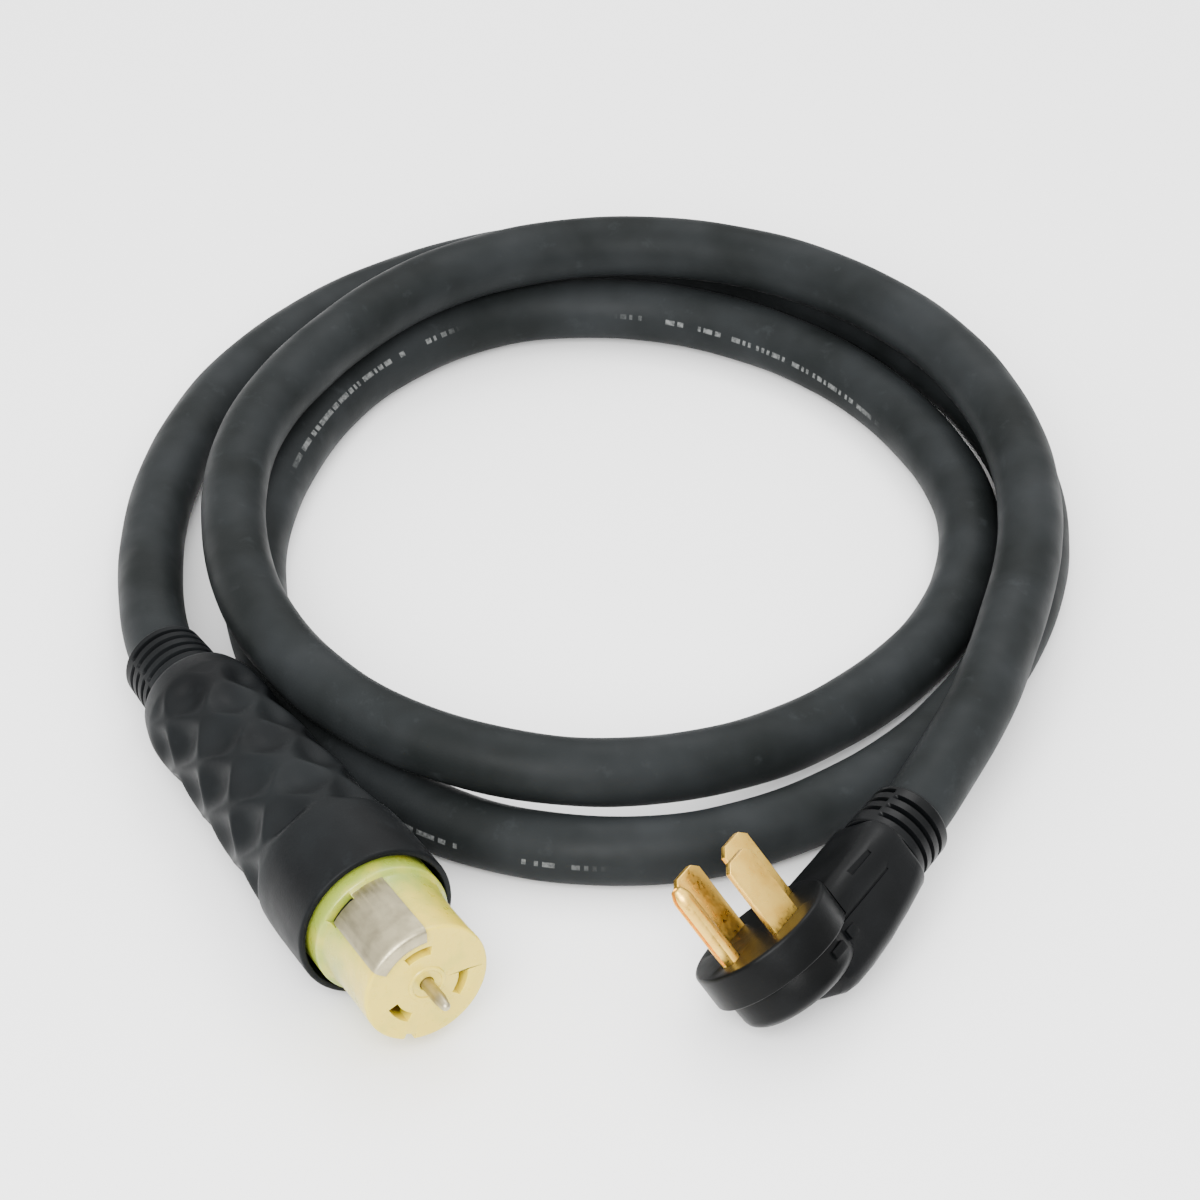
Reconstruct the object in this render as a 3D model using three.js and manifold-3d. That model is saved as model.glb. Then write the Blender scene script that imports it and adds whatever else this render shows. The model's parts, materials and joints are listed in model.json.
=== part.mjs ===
// Shore power cord: 50 A, 125/250 V, four-wire. A flexible rubber cord lies in a loose coil, with an
// angled straight-blade plug on one end and a straight locking connector on the other.
// Millimetres, +Z up. The cord rests on Z = 0, and the origin is the bottom centre of the whole.

import * as THREE from 'three';
import { mergeVertices } from 'three/addons/utils/BufferGeometryUtils.js';
import Module from 'manifold-3d';

const wasm = await Module();
wasm.setup();

// ---- Driving dimensions ----

const GAP = 0.3; // between pieces that touch on the real object
const COIL_CENTRE = [1.13, 31.99]; // x, y

// Cord
const JACKET_RADIUS = 11.75;
const JACKET_BORE = 9.25;
const CONDUCTOR_RADIUS = 3.3;
const GROUND_CONDUCTOR_RADIUS = 2.8;
const CONDUCTOR_OFFSET = 5.1; // conductor centre from cord centre
const FILLER_RADIUS = 1.2;
const JACKET_SIDES = 12;
const JACKET_BORE_SIDES = 10;
const CONDUCTOR_SIDES = 6;
const FREE_STEPS = 66; // sections along the cord between its two strain reliefs

// The cord's coil: one station every COIL_STEP degrees, from the plug inwards and round to the
// connector. Each is [distance from the coil's centre, height of the cord's centre line].
const COIL_START = -35;
const COIL_STEP = 25;
const FLOOR = 11.9; // height of the centre line where the cord lies on the floor
const COIL = [
  [167.5, 35], [156, 36], [155.5, 35], [160.5, 34.5], [162.5, 35.5], [158, 37], [148.5, 37],
  [137, 35.5], [133, 36], [133, 36.5], [141.5, 37], [152.5, 36.5], [151.5, 30], [139.5, 20.5],
  [131.5, 15], [132.5, FLOOR], [136.5, 12.5], [138, FLOOR], [144, FLOOR], [148.5, 13.5],
  [150, 13.5], [140, FLOOR], [127.5, FLOOR], [125.5, FLOOR], [132, FLOOR], [148, FLOOR],
  [166.5, FLOOR], [171.5, FLOOR], [164.5, 12.5], [157.5, FLOOR], [159, 12.5], [165, FLOOR],
  [172, 12.5], [183, 13], [191.5, 12.5], [183.5, FLOOR], [172.5, FLOOR], [163.5, 14.5],
];
// Points where the cord is not coiled, from the coil's centre: [x, y, height]
const PLUG_LEAD = [[112.5, -155.5, 32], [129.5, -120, 33.8]];
const CONNECTOR_LEAD = [[-162.5, 7, 14.5], [-162, -21, 16.4], [-157.5, -58, 19.6]];

// Connector, along its own +X from the rear towards the contacts, X = 0 at the contact face
const CONNECTOR_FACE = [-54.6, -253.5, 29.6]; // from the coil's centre
const CONNECTOR_HEADING = -60.6; // degrees from +X
const CONNECTOR_PITCH = 2.4; // degrees, nose up
const NOSE_FRONT_RADIUS = 21.8;
const NOSE_WAIST_RADIUS = 21.2;
const NOSE_FLANGE_RADIUS = 23.7;
const NOSE_BORE = 18.8;
const NOSE_WALL = 6;
const NOSE_REAR = -52;
const NOSE_SHOULDER = -45.7;
const NOSE_SEAT_RADIUS = 20.5;
const COLLAR_FRONT = -35;
const COLLAR_RADIUS = 27.5;
const COLLAR_BORE = 25.3;
const GRIP_REAR = -175.7;
const GRIP_COLUMNS = 6; // hollows in one ring round the grip; the next ring is turned by half a step
const GRIP_PERIOD = 27; // between one ring of hollows and the next but one
const GRIP_TOP = -86; // a ring with a hollow uppermost
const GRIP_FRONT = -78;
const GRIP_BACK = -160;
const GRIP_DEPTH = 1.1;
const CONNECTOR_RELIEF_REAR = -198;
const CONNECTOR_JACKET_END = -108;
const CONNECTOR_WIRE_END = -80;
const CONTACT_MEAN_RADIUS = 13;
const CONTACT_THICKNESS = 2.4;
const CONTACT_HALF_SPAN = 18; // degrees
const CONTACT_ANGLES = [100, 340, 220]; // line 1, line 2, neutral
const CONNECTOR_WIRE_ANGLES = [55, 325, 235, 145]; // line 1, line 2, neutral, ground
const LINK_TURN = [-12, -10, 8]; // where each link meets its contact, degrees off the middle
const LINK_AT = [-68, -62];
const BARREL_RADIUS = 3.2; // of the barrels that grip the wires
const BARREL_AT = [CONNECTOR_WIRE_END + GAP, LINK_AT[1]];
const PIN_RADIUS = 2.2;
const PIN_REACH = 14;
const STRIP_ANGLE = 117;
const STRIP_HALF_SPAN = 28;

// Plug: +X along the cord's exit, +Y out of the face, the origin at the centre of the face
const PLUG_FACE = [50.4, -232.4, 33.4]; // from the coil's centre
const PLUG_EXIT = [0.562, 0.821, 0.101];
const PLUG_FRONT = [-0.596, 0.318, 0.737];
const FACE_RADIUS = 25.3;
const FACE_DEPTH = 12.7;
const FACE_WALL = 5;
const HEAD_RADIUS = 21.8;
const HEAD_BACK = -25;
const CORD_DEPTH = -15.5; // cord centre line behind the face
const ARM_END = 57;
const ARM_HALF_WIDTH = 16;
const PLUG_RELIEF_END = 76;
const PLUG_JACKET_END = 30;
const PLUG_WIRE_END = 24;
const PLUG_BARREL_END = PLUG_WIRE_END - GAP;
const BAR_X = [3, 6.3]; // of the links from the line blades to their wires
const BLADE_LENGTH = 27;
const BLADE_WIDTH = 12.6;
const BLADE_THICKNESS = 2.4;
const HOT_OFFSET = 14.1;
const NEUTRAL_OFFSET = 12.7;
const GROUND_OFFSET = -15.9;
const GROUND_LENGTH = 30;
const GROUND_RADIUS = 3.3;
const WIRE_CORNER = CONDUCTOR_OFFSET * Math.SQRT1_2; // the four wires lie in a square here
const WIRE_ROLL = 10; // degrees that the wires' square is turned from the connector's

// ---- Materials ----

function material(color, roughness, metalness) {
  return new THREE.MeshStandardMaterial({ color, roughness, metalness });
}

const rubber = () => material(0x34383a, 0.6, 0);
const insulator = () => material(0xd9d49a, 0.5, 0);
const brass = () => material(0xcdaa6c, 0.3, 1);
const plated = () => material(0xb4b4ae, 0.35, 1);

// ---- Solids ----

const rad = THREE.MathUtils.degToRad;

// A manifold solid from a closed three.js geometry.
function solid(geometry) {
  const bare = geometry.index ? geometry.toNonIndexed() : geometry.clone();
  bare.deleteAttribute('normal');
  bare.deleteAttribute('uv');
  const merged = mergeVertices(bare, 1e-4);
  const mesh = new wasm.Mesh({
    numProp: 3,
    vertProperties: new Float32Array(merged.attributes.position.array),
    triVerts: new Uint32Array(merged.index.array),
  });
  return new wasm.Manifold(mesh);
}

function geometryOf(body) {
  const mesh = body.getMesh();
  const geometry = new THREE.BufferGeometry();
  geometry.setAttribute('position', new THREE.BufferAttribute(mesh.vertProperties, 3));
  geometry.setIndex(new THREE.BufferAttribute(mesh.triVerts, 1));
  geometry.computeVertexNormals();
  return geometry;
}

function cut(body, tools) {
  return tools.reduce((rest, tool) => rest.subtract(solid(tool)), body);
}

function join(geometries) {
  return geometries.map(solid).reduce((whole, piece) => whole.add(piece));
}

// A solid of revolution about X from [x, radius] points that run towards +X on the outside.
function turned(points, segments) {
  const profile = points.map(([x, radius]) => new THREE.Vector2(radius, x));
  return new THREE.LatheGeometry(profile, segments).rotateZ(-Math.PI / 2);
}

function block([x0, x1], [y0, y1], [z0, z1]) {
  const box = new THREE.BoxGeometry(x1 - x0, y1 - y0, z1 - z0);
  return box.translate((x0 + x1) / 2, (y0 + y1) / 2, (z0 + z1) / 2);
}

// A round bar along X.
function bar([x0, x1], radius, [y, z], segments = 12) {
  const rod = new THREE.CylinderGeometry(radius, radius, x1 - x0, segments);
  return rod.rotateZ(Math.PI / 2).translate((x0 + x1) / 2, y, z);
}

// A round disc along Y.
function disc(radius, [y0, y1], segments = 36) {
  return new THREE.CylinderGeometry(radius, radius, y1 - y0, segments).translate(0, (y0 + y1) / 2, 0);
}

function polar(radius, degrees) {
  return new THREE.Vector2(radius * Math.cos(rad(degrees)), radius * Math.sin(rad(degrees)));
}

// A plate that follows a circle about X: from radius inner to outer, over the given angles.
function sector([x0, x1], [inner, outer], [from, to], steps = 6) {
  const outline = [];
  for (let i = 0; i <= steps; i += 1) {
    outline.push(polar(outer, THREE.MathUtils.lerp(from, to, i / steps)));
  }
  for (let i = steps; i >= 0; i -= 1) {
    outline.push(polar(inner, THREE.MathUtils.lerp(from, to, i / steps)));
  }
  return alongX(new THREE.Shape(outline), x0, x1);
}

// A flat section, drawn in Y and Z, pushed along X.
function alongX(shape, x0, x1) {
  const geometry = new THREE.ExtrudeGeometry(shape, { depth: x1 - x0, bevelEnabled: false });
  const turn = new THREE.Matrix4().makeBasis(
    new THREE.Vector3(0, 1, 0), new THREE.Vector3(0, 0, 1), new THREE.Vector3(1, 0, 0));
  return geometry.applyMatrix4(turn).translate(x0, 0, 0);
}

// ---- Assembly ----

const cord = new THREE.Group();
const whole = new THREE.Group();
whole.add(cord);
whole.position.set(COIL_CENTRE[0], COIL_CENTRE[1], 0);

function piece(parent, name, geometry, look) {
  const mesh = new THREE.Mesh(geometry, look);
  mesh.name = name;
  parent.add(mesh);
}

const connector = new THREE.Group();
connector.position.set(...CONNECTOR_FACE);
connector.rotation.set(0, -rad(CONNECTOR_PITCH), rad(CONNECTOR_HEADING), 'ZYX');
cord.add(connector);

const plug = new THREE.Group();
const exitAxis = new THREE.Vector3(...PLUG_EXIT).normalize();
const sideAxis = new THREE.Vector3().crossVectors(exitAxis, new THREE.Vector3(...PLUG_FRONT)).normalize();
const frontAxis = new THREE.Vector3().crossVectors(sideAxis, exitAxis);
plug.quaternion.setFromRotationMatrix(new THREE.Matrix4().makeBasis(exitAxis, frontAxis, sideAxis));
plug.position.set(...PLUG_FACE);
cord.add(plug);
cord.updateMatrixWorld(true);

const connectorPoint = (x) => new THREE.Vector3(x, 0, 0).applyMatrix4(connector.matrix);
const plugPoint = (x) => new THREE.Vector3(x, CORD_DEPTH, 0).applyMatrix4(plug.matrix);

// ---- Cord ----

// The free centre line, from the connector's strain relief to the plug's.
function freeRoute() {
  const coil = COIL.map(([radius, height], i) => {
    const place = polar(radius, COIL_START + COIL_STEP * i);
    return new THREE.Vector3(place.x, place.y, height);
  });
  return [
    connectorPoint(CONNECTOR_RELIEF_REAR - 1),
    ...CONNECTOR_LEAD.map((point) => new THREE.Vector3(...point)).reverse(),
    ...coil.reverse(),
    ...PLUG_LEAD.map((point) => new THREE.Vector3(...point)).reverse(),
    plugPoint(PLUG_RELIEF_END + 1),
  ];
}

// The sections of the cord: their centres, and a frame at each that turns slowly from the
// conductors' places in the connector to their places in the plug.
class LaidCord extends THREE.Curve {
  constructor(centres, startSide, endSide) {
    super();
    this.centres = centres;
    const last = centres.length - 1;
    const leg = (i) => centres[i + 1].clone().sub(centres[i]).normalize();
    this.tangents = centres.map((_, i) => {
      const before = leg(Math.max(i - 1, 0));
      return before.add(leg(Math.min(i, last - 1))).normalize();
    });
    this.normals = [startSide.clone()];
    for (let i = 1; i <= last; i += 1) {
      const turn = new THREE.Quaternion().setFromUnitVectors(this.tangents[i - 1], this.tangents[i]);
      this.normals.push(this.normals[i - 1].clone().applyQuaternion(turn));
    }
    const crossed = new THREE.Vector3().crossVectors(this.normals[last], endSide);
    const twist = Math.atan2(crossed.dot(this.tangents[last]), this.normals[last].dot(endSide));
    this.normals.forEach((normal, i) => normal.applyAxisAngle(this.tangents[i], twist * i / last));
    this.binormals = this.normals.map((normal, i) => this.tangents[i].clone().cross(normal));
  }

  // The same sections from the first to the last that a shorter piece covers.
  part(first, last) {
    const shorter = Object.create(this);
    for (const list of ['centres', 'tangents', 'normals', 'binormals']) {
      shorter[list] = this[list].slice(first, last + 1);
    }
    return shorter;
  }

  getSpacedPoints() {
    return this.centres;
  }

  computeFrenetFrames() {
    return { tangents: this.tangents, normals: this.normals, binormals: this.binormals };
  }
}

function layCord() {
  const free = new THREE.CatmullRomCurve3(freeRoute(), false, 'centripetal').getSpacedPoints(FREE_STEPS);
  const centres = [
    connectorPoint(CONNECTOR_WIRE_END), connectorPoint(CONNECTOR_JACKET_END), ...free,
    plugPoint(PLUG_JACKET_END), plugPoint(PLUG_WIRE_END),
  ];
  const startSide = new THREE.Vector3(0, 1, 0).transformDirection(connector.matrix);
  const endSide = frontAxis.clone().applyAxisAngle(exitAxis, -rad(WIRE_ROLL));
  return new LaidCord(centres, startSide, endSide);
}

function polygon(sides, radius, centre = new THREE.Vector2()) {
  const corners = [];
  for (let i = 0; i < sides; i += 1) {
    corners.push(polar(radius, 360 * i / sides).add(centre));
  }
  return corners;
}

function along(path, shape) {
  const steps = path.centres.length - 1;
  return new THREE.ExtrudeGeometry(shape, { steps, extrudePath: path, bevelEnabled: false });
}

const laid = layCord();
const jacketSection = new THREE.Shape(polygon(JACKET_SIDES, JACKET_RADIUS));
jacketSection.holes.push(new THREE.Path(polygon(JACKET_BORE_SIDES, JACKET_BORE)));
const lastSection = laid.centres.length - 1;
piece(cord, 'cord_jacket', along(laid.part(1, lastSection - 1), jacketSection), rubber());
piece(cord, 'cord_filler', along(laid, new THREE.Shape(polygon(CONDUCTOR_SIDES, FILLER_RADIUS))),
  material(0xb59a6b, 0.9, 0));

// Conductor centres round the cord's own centre line, as the frame along the cord sees them.
const CONDUCTORS = [
  ['conductor_black', CONDUCTOR_RADIUS, 0x16171a],
  ['conductor_red', CONDUCTOR_RADIUS, 0xa8231f],
  ['conductor_white', CONDUCTOR_RADIUS, 0xe6e4dc],
  ['conductor_green', GROUND_CONDUCTOR_RADIUS, 0x2c7a3f],
];
CONDUCTORS.forEach(([name, radius, color], i) => {
  const centre = polar(CONDUCTOR_OFFSET, -CONNECTOR_WIRE_ANGLES[i]);
  const section = new THREE.Shape(polygon(CONDUCTOR_SIDES, radius, centre));
  piece(cord, name, along(laid, section), material(color, 0.5, 0));
});

// ---- Connector ----

function connectorOvermould() {
  const rings = Array.from({ length: 12 }, (_, i) => GRIP_TOP + GRIP_PERIOD * (i - 10) / 4);
  const taper = (x) => THREE.MathUtils.mapLinear(x, -80, -150, 24.6, 21.2);
  const outside = [
    [GRIP_REAR, 12.3], [GRIP_REAR, 16.2], [-174, 18.2], [-170, 19.8], [GRIP_BACK, 22.2],
    ...rings.map((x) => [x, taper(x)]),
    [-76, 25.1], [-71, 25.7], [-60, 27.1], [COLLAR_FRONT - 1, COLLAR_RADIUS],
    [COLLAR_FRONT, COLLAR_RADIUS - 0.6], [COLLAR_FRONT, COLLAR_BORE],
  ];
  const inside = [
    [NOSE_SHOULDER + 0.5, COLLAR_BORE], [NOSE_SHOULDER - GAP, 24], [NOSE_SHOULDER - GAP, 20.8],
    [-60.6, 20.8], [-61, 19.4], [-68, 19.2], [-96, 14.5], [-104, 12.3], [GRIP_REAR, 12.3],
  ];
  const geometry = turned([...outside, ...inside], 36);
  const place = geometry.attributes.position;
  for (let i = 0; i < place.count; i += 1) {
    const x = place.getX(i);
    const radius = Math.hypot(place.getY(i), place.getZ(i));
    const onGrip = x < GRIP_FRONT && x > GRIP_BACK && radius > taper(GRIP_BACK) - 1;
    if (onGrip) {
      const angle = Math.atan2(place.getZ(i), place.getY(i));
      const wave = Math.cos(GRIP_COLUMNS * angle) * Math.cos(2 * Math.PI * (x - GRIP_TOP) / GRIP_PERIOD);
      const fade = Math.min(1, 2 * Math.sin(Math.PI * (x - GRIP_BACK) / (GRIP_FRONT - GRIP_BACK)));
      const raised = (radius + GRIP_DEPTH * wave * fade) / radius;
      place.setY(i, place.getY(i) * raised);
      place.setZ(i, place.getZ(i) * raised);
    }
  }
  return geometry;
}

// Ribs and grooves of a strain relief about X, thinner towards the cord's free length.
function ribs(from, to, [startRadius, endRadius], bore, grooves) {
  const length = to - from;
  const radiusAt = (x) => THREE.MathUtils.mapLinear(x, from, to, startRadius, endRadius);
  const profile = [[from, bore], [from, radiusAt(from)]];
  for (let i = 1; i <= grooves; i += 1) {
    const x = from + length * i / (grooves + 1);
    profile.push([x - 0.9, radiusAt(x)], [x - 0.5, radiusAt(x) - 1.1]);
    profile.push([x + 0.5, radiusAt(x) - 1.1], [x + 0.9, radiusAt(x)]);
  }
  profile.push([to, radiusAt(to)], [to, bore], [from, bore]);
  return turned(profile, 24);
}

function connectorNose() {
  const profile = [
    [NOSE_REAR, NOSE_BORE], [NOSE_REAR, NOSE_SEAT_RADIUS], [NOSE_SHOULDER, NOSE_SEAT_RADIUS],
    [NOSE_SHOULDER, NOSE_FLANGE_RADIUS], [-31, NOSE_FLANGE_RADIUS], [-30, NOSE_WAIST_RADIUS + 0.5],
    [-22, NOSE_WAIST_RADIUS], [-1, NOSE_FRONT_RADIUS], [0, NOSE_FRONT_RADIUS - 0.8], [0, 0],
    [-NOSE_WALL, 0], [-NOSE_WALL, NOSE_BORE], [NOSE_REAR, NOSE_BORE],
  ];
  const half = CONTACT_THICKNESS / 2 + GAP;
  const slots = CONTACT_ANGLES.map((angle) => sector([-NOSE_WALL - 1, 1],
    [CONTACT_MEAN_RADIUS - half, CONTACT_MEAN_RADIUS + half],
    [angle - CONTACT_HALF_SPAN - 1.5, angle + CONTACT_HALF_SPAN + 1.5]));
  const pinHole = bar([-NOSE_WALL - 1, 1], PIN_RADIUS + GAP, [0, 0]);
  const stripSlot = sector([-30.2, -26.4], [17, 26], [120, 147]);
  const keyNotch = sector([-4, 1], [19.5, 24], [245, 256], 2);
  return geometryOf(cut(solid(turned(profile, 48)), [...slots, pinHole, stripSlot, keyNotch]));
}

function backInsulator() {
  const half = CONTACT_THICKNESS / 2 + GAP;
  const plate = turned([[-60, 0], [-60, 20.5], [-52.3, 20.5], [-52.3, 0]], 36);
  const slots = CONTACT_ANGLES.map((angle) => sector([-61, -51],
    [CONTACT_MEAN_RADIUS - half, CONTACT_MEAN_RADIUS + half],
    [angle - CONTACT_HALF_SPAN - 1.5, angle + CONTACT_HALF_SPAN + 1.5]));
  const stripSlot = sector([-61, -51], [17, 18.8], [126, 148]);
  const pinHole = bar([-61, -51], PIN_RADIUS + GAP, [0, 0]);
  return geometryOf(cut(solid(plate), [...slots, stripSlot, pinHole]));
}

// Outline of a flat link in Y and Z, from a wire's barrel out to a contact.
function link([x0, x1], from, to, halfWidth) {
  const across = to.clone().sub(from).normalize().rotateAround(new THREE.Vector2(), Math.PI / 2);
  across.multiplyScalar(halfWidth);
  const outline = [
    from.clone().add(across), from.clone().sub(across), to.clone().sub(across), to.clone().add(across),
  ];
  return alongX(new THREE.Shape(outline), x0, x1);
}

// A curved blade receiver with its link and the barrel that grips the wire.
function curvedContact(i) {
  const angle = CONTACT_ANGLES[i];
  const wire = polar(CONDUCTOR_OFFSET, CONNECTOR_WIRE_ANGLES[i]);
  const half = CONTACT_THICKNESS / 2;
  return geometryOf(join([
    sector([LINK_AT[0], -8], [CONTACT_MEAN_RADIUS - half, CONTACT_MEAN_RADIUS + half],
      [angle - CONTACT_HALF_SPAN, angle + CONTACT_HALF_SPAN]),
    link(LINK_AT, wire, polar(CONTACT_MEAN_RADIUS, angle + LINK_TURN[i]), 1.5),
    bar(BARREL_AT, BARREL_RADIUS, wire.toArray(), 10),
  ]));
}

// The curved ground strip lies outside the nose; its leg goes in through the nose to the ground wire.
function groundStrip() {
  const wire = polar(CONDUCTOR_OFFSET, CONNECTOR_WIRE_ANGLES[3]);
  return geometryOf(join([
    sector([-29.8, -3], [22.2, 23.2], [STRIP_ANGLE - STRIP_HALF_SPAN, STRIP_ANGLE + STRIP_HALF_SPAN], 10),
    sector([-29.8, -26.8], [17.3, 22.4], [122, 145]),
    sector([LINK_AT[0], -26.8], [17.3, 18.5], [128, 145]),
    link(LINK_AT, wire, polar(17.8, 139), 1.5),
    bar(BARREL_AT, GROUND_CONDUCTOR_RADIUS, wire.toArray(), 10),
  ]));
}

function centrePin() {
  const profile = [
    [-58, 0], [-58, PIN_RADIUS], [PIN_REACH - 1.2, PIN_RADIUS], [PIN_REACH, PIN_RADIUS - 1.1],
    [PIN_REACH, 0],
  ];
  return turned(profile, 16);
}

piece(connector, 'connector_overmould', connectorOvermould(), rubber());
piece(connector, 'connector_strain_relief',
  ribs(CONNECTOR_RELIEF_REAR, GRIP_REAR - GAP, [14.8, 15.6], 12.35, 4), rubber());
piece(connector, 'connector_nose', connectorNose(), insulator());
piece(connector, 'connector_back_insulator', backInsulator(), material(0x8a8468, 0.6, 0));
piece(connector, 'contact_line_1', curvedContact(0), brass());
piece(connector, 'contact_line_2', curvedContact(1), brass());
piece(connector, 'contact_neutral', curvedContact(2), brass());
piece(connector, 'connector_ground_strip', groundStrip(), plated());
piece(connector, 'connector_centre_pin', centrePin(), plated());

// ---- Plug ----

function plugFace() {
  const profile = [
    new THREE.Vector2(0, 0), new THREE.Vector2(0, -FACE_WALL), new THREE.Vector2(21, -FACE_WALL),
    new THREE.Vector2(21, -FACE_DEPTH), new THREE.Vector2(FACE_RADIUS, -FACE_DEPTH),
    new THREE.Vector2(FACE_RADIUS, -0.8), new THREE.Vector2(FACE_RADIUS - 0.8, 0),
    new THREE.Vector2(0, 0),
  ];
  const wide = BLADE_WIDTH / 2 + GAP;
  const thick = BLADE_THICKNESS / 2 + GAP;
  const slotFor = (x, z) => block([x - wide, x + wide], [-FACE_WALL - 1, 1], [z - thick, z + thick]);
  const groundHole = disc(GROUND_RADIUS + GAP, [-FACE_WALL - 1, 1], 16).translate(GROUND_OFFSET, 0, 0);
  const wireRoom = block([15, FACE_RADIUS + 1], [-FACE_DEPTH - 1, -8.3], [-8.3, 8.3]);
  const slots = [
    slotFor(0, -HOT_OFFSET), slotFor(0, HOT_OFFSET), slotFor(NEUTRAL_OFFSET, 0), groundHole, wireRoom,
  ];
  return geometryOf(cut(solid(new THREE.LatheGeometry(profile, 48)), slots));
}

// The arm seen from its side: X along the cord, Y towards the blades.
const ARM_OUTLINE = [
  [10, -3], [ARM_END, -2], [ARM_END, -30], [44, -31], [30, -32.7], [6, -33.5], [3, -31.5], [3, -20],
  [10, -16],
];

function plugOvermould() {
  const edge = 3;
  const outline = new THREE.Shape(ARM_OUTLINE.map(([x, y]) => new THREE.Vector2(x, y)));
  const arm = new THREE.ExtrudeGeometry(outline, {
    depth: 2 * (ARM_HALF_WIDTH - edge), bevelThickness: edge, bevelSize: edge, bevelOffset: -edge,
    bevelSegments: 1,
  }).translate(0, 0, edge - ARM_HALF_WIDTH);
  const head = new THREE.LatheGeometry([
    new THREE.Vector2(0, HEAD_BACK), new THREE.Vector2(HEAD_RADIUS - 3.5, HEAD_BACK),
    new THREE.Vector2(HEAD_RADIUS - 0.8, HEAD_BACK + 2.5), new THREE.Vector2(HEAD_RADIUS, HEAD_BACK + 5),
    new THREE.Vector2(HEAD_RADIUS, -FACE_DEPTH - GAP), new THREE.Vector2(0, -FACE_DEPTH - GAP),
  ], 36);
  const faceRoom = disc(FACE_RADIUS + GAP, [-FACE_DEPTH - GAP, 5], 48);
  const headRoom = disc(19.2, [-22.7, 0], 24);
  const wireRoom = block([0, PLUG_JACKET_END - 1], [-24, -8], [-8.3, 8.3]);
  const cordBore = bar([PLUG_JACKET_END - 2, ARM_END + 1], JACKET_RADIUS + 0.5, [CORD_DEPTH, 0], 24);
  return geometryOf(cut(join([arm, head]), [faceRoom, headRoom, wireRoom, cordBore]));
}

// A flat blade with its tip chamfered, drawn across its width and reach, and set at its place.
function blade(reachBehind, x, z) {
  const wide = BLADE_WIDTH / 2;
  const outline = new THREE.Shape([
    new THREE.Vector2(-wide, -reachBehind), new THREE.Vector2(wide, -reachBehind),
    new THREE.Vector2(wide, BLADE_LENGTH - 2.5), new THREE.Vector2(wide - 2.5, BLADE_LENGTH),
    new THREE.Vector2(2.5 - wide, BLADE_LENGTH), new THREE.Vector2(-wide, BLADE_LENGTH - 2.5),
  ]);
  const plate = new THREE.ExtrudeGeometry(outline, { depth: BLADE_THICKNESS, bevelEnabled: false });
  return plate.translate(x, 0, z - BLADE_THICKNESS / 2);
}

// A line blade on one side of the plug (side is -1 or 1), with its link and wire barrel.
function hotBlade(side) {
  const wireY = CORD_DEPTH + WIRE_CORNER;
  const reach = [side * WIRE_CORNER, side * (HOT_OFFSET + 1)].sort((a, b) => a - b);
  return geometryOf(join([
    blade(14, 0, side * HOT_OFFSET),
    block(BAR_X, [wireY - 1.5, wireY + 1.5], reach),
    bar([BAR_X[0], PLUG_BARREL_END], BARREL_RADIUS, [wireY, side * WIRE_CORNER], 10),
  ]));
}

function neutralBlade() {
  const wireY = CORD_DEPTH - WIRE_CORNER;
  const half = BLADE_THICKNESS / 2;
  return geometryOf(join([
    blade(8.3, NEUTRAL_OFFSET, 0),
    block([-1.5, NEUTRAL_OFFSET], [-8.3, -5.3], [-half, half]),
    block([-1.5, 2.4], [wireY - 1.4, -5.3], [-half, half]),
    block([-1.5, 9], [wireY - 1.4, wireY + 1.4], [-WIRE_CORNER - 1, 0.4]),
    bar([8, PLUG_BARREL_END], BARREL_RADIUS, [wireY, -WIRE_CORNER], 10),
  ]));
}

// The round ground pin, with a slot down it, and its link round to the ground wire's barrel.
function groundPin() {
  const wireY = CORD_DEPTH - WIRE_CORNER;
  const pin = new THREE.LatheGeometry([
    new THREE.Vector2(0, -7), new THREE.Vector2(GROUND_RADIUS, -7),
    new THREE.Vector2(GROUND_RADIUS, GROUND_LENGTH - 2.5), new THREE.Vector2(1.6, GROUND_LENGTH),
    new THREE.Vector2(0, GROUND_LENGTH),
  ], 16).translate(GROUND_OFFSET, 0, 0);
  const slot = block([GROUND_OFFSET - 4, GROUND_OFFSET + 0.6], [0.5, GROUND_LENGTH + 1], [-0.8, 0.8]);
  const tail = [
    block([GROUND_OFFSET - 1.6, GROUND_OFFSET + 2], [wireY - 1.4, -5.3], [-1.8, 5]),
    block([GROUND_OFFSET - 1.6, 10], [wireY - 1.4, wireY + 1.4], [2.2, 5]),
    bar([8, PLUG_BARREL_END], GROUND_CONDUCTOR_RADIUS, [wireY, WIRE_CORNER], 10),
  ];
  return geometryOf(cut(join([pin, ...tail]), [slot]));
}

const plugRelief = ribs(ARM_END + GAP, PLUG_RELIEF_END, [14.9, 14.5], 12.35, 3)
  .translate(0, CORD_DEPTH, 0);

piece(plug, 'plug_overmould', plugOvermould(), rubber());
piece(plug, 'plug_strain_relief', plugRelief, rubber());
piece(plug, 'plug_face', plugFace(), rubber());
piece(plug, 'hot_blade_1', hotBlade(-1), brass());
piece(plug, 'hot_blade_2', hotBlade(1), brass());
piece(plug, 'neutral_blade', neutralBlade(), brass());
piece(plug, 'ground_pin', groundPin(), brass());

export default whole;
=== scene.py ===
"""Shore power cord: the visible surfaces and materials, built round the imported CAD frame."""

import json
import math

import bmesh
import bpy
import numpy as np
from mathutils import Matrix, Vector


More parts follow.
